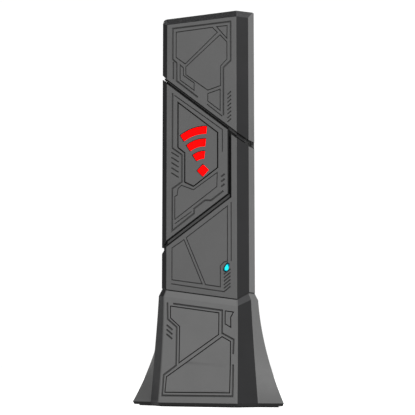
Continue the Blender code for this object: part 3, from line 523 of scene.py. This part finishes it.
def middle_lines():
    return [
        groove([(-12.1, 119.7), (-12.1, 98.2), (-8.1, 95.3), (-8.1, 84.8), (-12.1, 82.4),
                (-12.1, 66.2), (-3.0, 72.4), (-3.0, 74.2), (1.6, 77.2), (4.0, 77.0),
                (9.1, 80.4)], False, border_width),
        groove([(-11.3, 118.8), (8.7, 103.8), (8.7, 95.3)], False),
        groove([(-8.2, 83.5), (-3.2, 81.5), (6.6, 87.5), (6.4, 82.1), (-11.0, 70.5),
                (-11.0, 79.3), (-10.0, 79.8), (-9.7, 82.2)]),
        groove([(-11.0, 68.8), (-4.0, 73.2)], False),
        *slashes(5, (-12.5, 96.6), (0, -2.0), (3.1, -2.0), width=hatch_width),
        *slashes(3, (8.2, 82.0), (0, 1.9), (1.4, 1.0), width=border_width),
    ]


def lower_lines():
    return [
        groove([(-12.1, 59.6), (-7.1, 62.6), (0.4, 45.6), (-12.1, 47.5)]),
        groove([(-6.2, 63.3), (10.7, 74.5), (10.7, 53.8), (9.2, 53.5), (7.8, 52.1),
                (7.8, 44.3), (1.8, 45.3)]),
        groove([(12.2, 53.8), (12.2, 76.0)], False),
        groove([(-12.4, 46.0), (-7.6, 45.2), (9.2, 42.5)], False),
        *slashes(6, (9.2, 42.4), (0, 1.3), (2.7, 2.0), width=hatch_width),
    ]


def ridge_lines():
    """Dark shadow line along the lower side of each channel."""
    on_ridge = {"surface": ridge_front, "ink": groove_black, "width": ridge_line_width}
    return [
        groove([(-14.2, 60.9), (11.6, 77.9), (11.6, 102.9), (14.2, 100.9)], False, **on_ridge),
        groove([(-14.2, 123.9), (10.9, 104.1)], False, **on_ridge),
    ]


def back_lines():
    behind = {"surface": flat_back, "inwards": -1}
    return [
        groove([(-8.3, 66.0), (-8.3, 131.5), (-4.0, 136.5), (8.3, 136.5), (8.3, 71.0),
                (4.0, 66.0)], width=border_width, **behind),
        groove([(-7.0, 97.5), (-7.0, 130.9), (-3.4, 135.2), (7.0, 135.2), (7.0, 108.5)],
               **behind),
        groove([(-7.0, 91.5), (-7.0, 67.3), (3.4, 67.3), (7.0, 71.5), (7.0, 102.5)], **behind),
        # Vent slots take the darker painted shade.
        *slashes(7, (-4.6, 112.0), (0, 2.4), (9.2, 7.2), width=vent_width, depth=vent_depth,
                 ink=groove_black, **behind),
        groove([(-11.2, 62.5), (-11.2, 138.5)], False, **behind),
        groove([(11.2, 62.5), (11.2, 138.5)], False, **behind),
    ]


# -------------------------------------------------------------------- adapter's covers


def cover_finish(centre, normal):
    """Index of the finish of a face, told by where it lies and the way it points."""
    slight, clear, partly, mostly = 0.1, 0.2, 0.4, 0.5
    side = abs(centre.x)
    depth = centre.y - front_y
    across = abs(normal.x)
    near_top = centre.z > top_z - front_chamfer - near
    if near_top and normal.z > clear and normal.y < -slight:
        return facet_and_painted_light_face if across > clear else chamfer_face
    if side + depth > half_width - near and across > mostly and normal.y < -mostly:
        return chamfer_face
    near_back = depth > body_depth - rear_chamfer - near
    if near_back and normal.y > partly and across > partly:
        return chamfer_face
    skin = depth < near or side > half_width - near or depth > body_depth - near
    skin = skin or centre.z > top_z - near
    # Faces off the outer skin that face sideways, such as channel walls, get painted shade.
    return panel_face if skin or abs(normal.y) > mostly else painted_shade_face


def shade_channel_edges(piece):
    """The narrow rounded strips beside a channel's walls take the walls' painted shade."""
    strip_area = 8 * mm * mm
    long_edge = 1 * mm
    strips_across = 2
    bm = bmesh.new()
    bm.from_mesh(piece.data)
    grown = [face for face in bm.faces if face.material_index == painted_shade_face]
    for _ in range(strips_across):
        edges = {edge for face in grown for edge in face.edges if edge.calc_length() > long_edge}
        beside = {face for edge in edges for face in edge.link_faces}
        grown = [face for face in beside
                 if face.material_index != painted_shade_face and face.calc_area() < strip_area]
        for face in grown:
            face.material_index = painted_shade_face
    bm.to_mesh(piece.data)
    bm.free()


def make_cover(node, lines, rounding=edge_round):
    """Engraved copy of a cover. The rear shell's front edge comes up to close its seam."""
    bm = clean_copy(node)
    bm.normal_update()
    for face in bm.faces:
        face.material_index = cover_finish(face.calc_center_median(), face.normal)
    if node == "rear_shell":
        for vertex in bm.verts:
            on_seam = abs(vertex.co.y - split_y) < near
            vertex.co.y -= seam_closing if on_seam else 0
    piece = new_object(node + "_engraved", bm)
    dress(piece, panel_grey, chamfer_black, facet_grey, groove_black)
    # The emblem panel's rounded edge takes the painted shade, a dark outline round it.
    soften(piece, rounding, painted_shade_face if node == "emblem_panel" else -1)
    shade_channel_edges(piece)
    if lines:
        subtract(piece, lines)
    present(piece, "adapter", "panel_grey", node)


def make_frame():
    """The middle frame: its ridge is satin on the front and dark on its slanted faces."""
    satin, dark = range(2)
    mostly = 0.5
    bm = clean_copy("mid_frame")
    bm.normal_update()
    for face in bm.faces:
        slanted = abs(face.normal.x) > mostly and abs(face.normal.y) > mostly
        face.material_index = dark if slanted else satin
    piece = new_object("mid_frame_finished", bm)
    dress(piece, ridge_grey, chamfer_black)
    subtract(piece, ridge_lines())
    present(piece, "adapter", "frame_black", "mid_frame")


def make_covers():
    make_cover("upper_cover", upper_lines())
    make_cover("middle_cover", middle_lines())
    make_cover("lower_cover", lower_lines())
    make_cover("emblem_panel", [], fine_round)
    make_cover("rear_shell", back_lines())


# ------------------------------------------------------------------------ cradle's shell


def rim_z(x):
    """Height of the cradle's rim, a shallow V that runs straight from front to back."""
    if x <= front_half:
        return rim_low_z + rim_left_slope * (front_half - x)
    return rim_low_z + rim_right_slope * (x - front_half)


def inset_outline(points, distance):
    """Outline with every edge moved inwards, corners mitred."""
    moved = []
    for index, here in enumerate(points):
        run_in = (here - points[index - 1]).normalized()
        run_out = (points[(index + 1) % len(points)] - here).normalized()
        mitre = Vector((-run_in.y, run_in.x)) + Vector((-run_out.y, run_out.x))
        moved.append(here + mitre * (2 * distance / mitre.length_squared))
    return moved


def mirrored(right):
    """Whole outline from its right half, listed from the front round to the rear."""
    left = [Vector((-point.x, point.y)) for point in right]
    return [left[0], *right, *reversed(left[1:])]


def stick_section():
    back = front_y + body_depth
    side_back = back - rear_chamfer
    rear_point = side_back + front_chamfer
    right = [(front_half, front_y), (half_width, front_y + front_chamfer),
             (half_width, side_back), (front_half, rear_point), (rear_half, back)]
    return mirrored([Vector(point) for point in right])


def foot_section():
    wing = Vector((base_half, base_front_y + foot_wing_depth))
    rear = Vector((foot_rear_half, base_back_y))
    between = wing.lerp(rear, front_chamfer / rear_chamfer)
    front = Vector((foot_front_half, base_front_y))
    corner = Vector((foot_corner[0], base_front_y + foot_corner[1]))
    return mirrored([front, corner, wing, between, rear])


def ease(share, straight):
    """How far out the flare is, where straight is 1 for a straight line, less for a curve."""
    return straight * share + (1 - straight) * share * share


front_line, corner_line, wing_line = 0.1, 0.8, 0.3
right_lines = [front_line, corner_line, wing_line, wing_line, wing_line]
corner_lines = [right_lines[0], *right_lines, *reversed(right_lines[1:])]
rim_heights = [rim_z(point.x) - rim_bevel for point in stick_section()]


def flare_ring(share, inset=0.0):
    """Corners of the cradle at a share of the way from under its rim to its widest."""
    top = inset_outline(stick_section(), -rim_step)
    outline = [high.lerp(low, ease(share, line))
               for high, low, line in zip(top, foot_section(), corner_lines)]
    heights = [widest_z + (1 - share) * (height - widest_z) for height in rim_heights]
    return [Vector((*point, height))
            for point, height in zip(inset_outline(outline, inset), heights)]


def rounded(ring, size):
    """Ring with each corner swapped for two points, a small size from it."""
    points = []
    for index, here in enumerate(ring):
        before = ring[index - 1]
        after = ring[(index + 1) % len(ring)]
        points.append(here + (before - here).normalized() * size)
        points.append(here + (after - here).normalized() * size)
    return points


def loft(rings, split):
    """Closed mesh through rings, top one first. split is where the top cap folds."""
    bm = bmesh.new()
    rows = [[bm.verts.new(point) for point in ring] for ring in rings]
    count = len(rows[0])
    for upper, lower in zip(rows, rows[1:]):
        for index in range(count):
            after = (index + 1) % count
            bm.faces.new((lower[index], lower[after], upper[after], upper[index]))
    near, far = split
    top = rows[0]
    caps = [bm.faces.new(top[near:far + 1]), bm.faces.new(top[far:] + top[:near + 1]),
            bm.faces.new(list(reversed(rows[-1])))]
    bmesh.ops.triangulate(bm, faces=caps)
    bmesh.ops.recalc_face_normals(bm, faces=bm.faces)
    return bm


def cradle_front(x, z):
    """World Y of the cradle's front face at a place in the front view."""
    passes = 4
    high, low = front_y - rim_step, base_front_y
    share = 0.5
    for _ in range(passes):
        at = min(x, front_half + share * (foot_front_half - front_half))
        height = rim_z(min(at, front_half)) - rim_bevel
        share = 1 - (z - widest_z) / (height - widest_z)
    return high + (low - high) * ease(max(0.0, share), front_line)


def cradle_lines():
    border = {"surface": cradle_front, "width": border_width}
    # Fine lines take the darker painted shade, borders the lighter one.
    fine = {"surface": cradle_front, "ink": groove_black}
    return [
        groove([(13.6, 19.4), (13.7, 24.7), (9.0, 27.1), (9.0, 35.5), (-11.0, 38.4)], False,
               **border),
        groove([(-13.4, 38.9), (-13.2, 32.6), (-9.4, 29.5), (-9.2, 15.2), (-14.1, 11.7),
                (-14.3, 4.1), (14.0, 4.1), (13.7, 15.6)], False, **border),
        groove([(-12.1, 37.5), (7.7, 34.6), (7.7, 26.6), (-8.0, 16.2), (-8.2, 29.8),
                (-12.0, 33.0)], **fine),
        groove([(9.1, 25.8), (12.5, 24.0), (12.8, 5.3), (-13.2, 5.3), (-12.9, 11.0)],
               **fine),
        groove([(10.2, 35.3), (13.5, 34.8), (12.4, 32.9), (12.5, 29.2), (10.2, 30.5)],
               **fine),
        *slashes(3, (-13.6, 30.4), (0, -1.7), (2.5, -1.9), **border),
    ]


def extruded(name, corners, run):
    """Closed cutter: the face on these corners, carried along a vector."""
    bm = bmesh.new()
    face = bm.faces.new([bm.verts.new(corner) for corner in corners])
    grown = bmesh.ops.extrude_face_region(bm, geom=[face])["geom"]
    bmesh.ops.translate(bm, vec=run,
                        verts=[item for item in grown if isinstance(item, bmesh.types.BMVert)])
    bmesh.ops.recalc_face_normals(bm, faces=bm.faces)
    return new_object(name, bm)


def prism(outline, low, high):
    """Upright prism cutter on an outline of x and y."""
    return extruded("prism", [(*point, low) for point in outline], (0, 0, high - low))


def inlet_cutter():
    """Round-ended slot through the rear wall, over the power inlet."""
    gap = 0.3 * mm
    start_y = inlet_high.y - 2 * mm
    length = 12 * mm
    quarter = 6
    radius = (inlet_high.z - inlet_low.z) / 2 + gap
    middle = (inlet_high.z + inlet_low.z) / 2
    reach = inlet_high.x + gap - radius
    corners = []
    for step in range(4 * quarter):
        angle = math.pi * step / (2 * quarter)
        side = -reach if quarter < step < 3 * quarter else reach
        x, z = side + radius * math.cos(angle), middle + radius * math.sin(angle)
        corners.append((x, start_y, z))
    return extruded("inlet_cutter", corners, (0, length, 0))


def finish_cradle(bm, sides):
    """Painted shade on the top row and under the foot, a dark chamfer on the right corner band,
    painted light on the left corner band and the right rim facet, a front face painted lighter,
    and panel grey elsewhere.
    """
    bm.faces.index_update()
    front_side, right_band, left_band = 1, 3, sides - 1
    for face in bm.faces:
        row, side = divmod(face.index, sides)
        on_rim = row == 1
        # Painted shade: the thin top row is the dark seam line, and faces below the widest line
        # are dark under the foot.
        if row == 0 or face.calc_center_median().z < widest_z:
            face.material_index = painted_shade_face
        # Painted light: the right band's rim facet and the left band below its rim get the
        # lighter grey, so the two sides differ.
        elif side == right_band:
            face.material_index = facet_and_painted_light_face if on_rim else chamfer_face
        elif side == left_band:
            face.material_index = chamfer_face if on_rim else facet_and_painted_light_face
        # The front face is painted lighter, as if lit more from above.
        elif side == front_side:
            face.material_index = base_painted_light_face


def smooth_cradle(piece):
    """Crisp creases, except where the left wing runs softly into its corner band."""
    crisp, soft = math.radians(11), math.radians(38)
    sliver = 0.001 * mm
    piece.data.set_sharp_from_angle(angle=crisp)
    bm = bmesh.new()
    bm.from_mesh(piece.data)
    for edge in bm.edges:
        middle = (edge.verts[0].co + edge.verts[1].co) / 2
        on_left = middle.x < -half_width and middle.y < 0 and middle.z > widest_z
        if on_left and edge.calc_face_angle(math.pi) < soft:
            edge.smooth = True
    bmesh.ops.dissolve_degenerate(bm, edges=bm.edges, dist=sliver)
    bm.to_mesh(piece.data)
    bm.free()
    piece.data.validate()


def make_cradle_shell():
    """The flared shell, hollowed, with a well for the neck, an inlet and engraved lines."""
    levels = 36
    inner_levels = 12
    collar = 0.05
    rim_fold, inside_fold = (3, 8), (1, 4)
    section = stick_section()
    rim = [Vector((*point, rim_z(point.x) + seam_closing)) for point in section]
    soft_rim = [Vector((*point, rim_z(high.x) + seam_closing))
                for point, high in zip(inset_outline(section, edge_round), section)]
    lowered = [point - Vector((0, 0, seam_line)) for point in rim]
    foot = [Vector((*point, base_low.z)) for point in inset_outline(foot_section(), foot_taper)]
    rings = [soft_rim, lowered]
    rings += [flare_ring(level / levels) for level in range(levels + 1)]
    rings += [foot]
    rounded_rings = [rounded(ring, crease_round) for ring in rings]
    bm = loft(rounded_rings, rim_fold)
    finish_cradle(bm, len(rounded_rings[0]))
    piece = new_object("cradle_shell_engraved", bm)
    dress(piece, panel_grey, chamfer_black, facet_grey, groove_black, base_grey)

    inner = [flare_ring(collar + (1 - collar) * level / inner_levels, shell_wall)
             for level in range(inner_levels + 1)]
    inner += [[Vector((*point, base_low.z - overshoot))
               for point in inset_outline(foot_section(), shell_wall)]]
    inside = new_object("inside", loft(inner, inside_fold))
    well = prism(inset_outline(section, well_inset), neck_z, rim_z(-half_width) + overshoot)
    dress(inside, liner_black)
    # The well's cut faces are painted shade, a dark line at the seam.
    dress(well, groove_black)
    subtract(piece, [inside, well, inlet_cutter()])
    subtract(piece, cradle_lines())
    smooth_cradle(piece)
    present(piece, "cradle", "panel_grey", "cradle_shell")


# ----------------------------------------------------------------- camera, light, floor


def make_camera():
    data = bpy.data.cameras.new("camera")
    data.lens = camera_lens
    data.sensor_width = camera_sensor
    data.shift_y = camera_shift
    data.clip_start = camera_clip
    camera = bpy.data.objects.new("camera", data)
    camera.location = camera_place
    camera.rotation_euler = (math.pi / 2 + camera_pitch, 0, camera_yaw)
    bpy.context.scene.collection.objects.link(camera)
    bpy.context.scene.camera = camera


def softbox(name, azimuth, elevation, power):
    """Square area light that faces the object's middle from an azimuth and elevation."""
    middle = (cad_low + cad_high) / 2
    around, above = math.radians(azimuth), math.radians(elevation)
    towards = Vector((math.sin(around) * math.cos(above), -math.cos(around) * math.cos(above),
                      math.sin(above)))
    data = bpy.data.lights.new(name, "AREA")
    data.size = light_size
    data.energy = power
    light = bpy.data.objects.new(name, data)
    light.location = middle + towards * light_distance
    light.rotation_euler = towards.to_track_quat("Z", "Y").to_euler()
    bpy.context.scene.collection.objects.link(light)


def make_world(seen, cast):
    """White backdrop: seen is its brightness to the eye, and cast the light that it gives."""
    world = bpy.data.worlds.new("studio")
    world.use_nodes = True
    tree = world.node_tree
    background = tree.nodes["Background"]
    path = tree.nodes.new("ShaderNodeLightPath")
    span = tree.nodes.new("ShaderNodeMapRange")
    span.inputs["To Min"].default_value = cast
    span.inputs["To Max"].default_value = seen
    background.inputs["Color"].default_value = (1, 1, 1, 1)
    tree.links.new(path.outputs["Is Camera Ray"], span.inputs["Value"])
    tree.links.new(span.outputs["Result"], background.inputs["Strength"])
    bpy.context.scene.world = world


def make_floor():
    bm = bmesh.new()
    bmesh.ops.create_grid(bm, x_segments=1, y_segments=1, size=floor_half)
    floor = new_object("floor", bm)
    floor.location = (0, 0, cad_low.z - floor_gap)
    pale = new_material("pale_floor", (floor_grey,) * 3, 0.8, specular=0.05)
    shader_of(pale).inputs["Emission Color"].default_value = (1, 1, 1, 1)
    shader_of(pale).inputs["Emission Strength"].default_value = floor_glow
    vary_roughness(pale, 0.05, 8)
    floor.data.materials.append(pale)


bpy.context.scene.view_settings.view_transform = "Standard"
make_world(seen=backdrop_seen, cast=backdrop_cast)
make_camera()
softbox("key", azimuth=60, elevation=38, power=13)
softbox("fill", azimuth=205, elevation=35, power=7)
make_floor()
paint_cad_nodes()
make_covers()
make_frame()
make_cradle_shell()
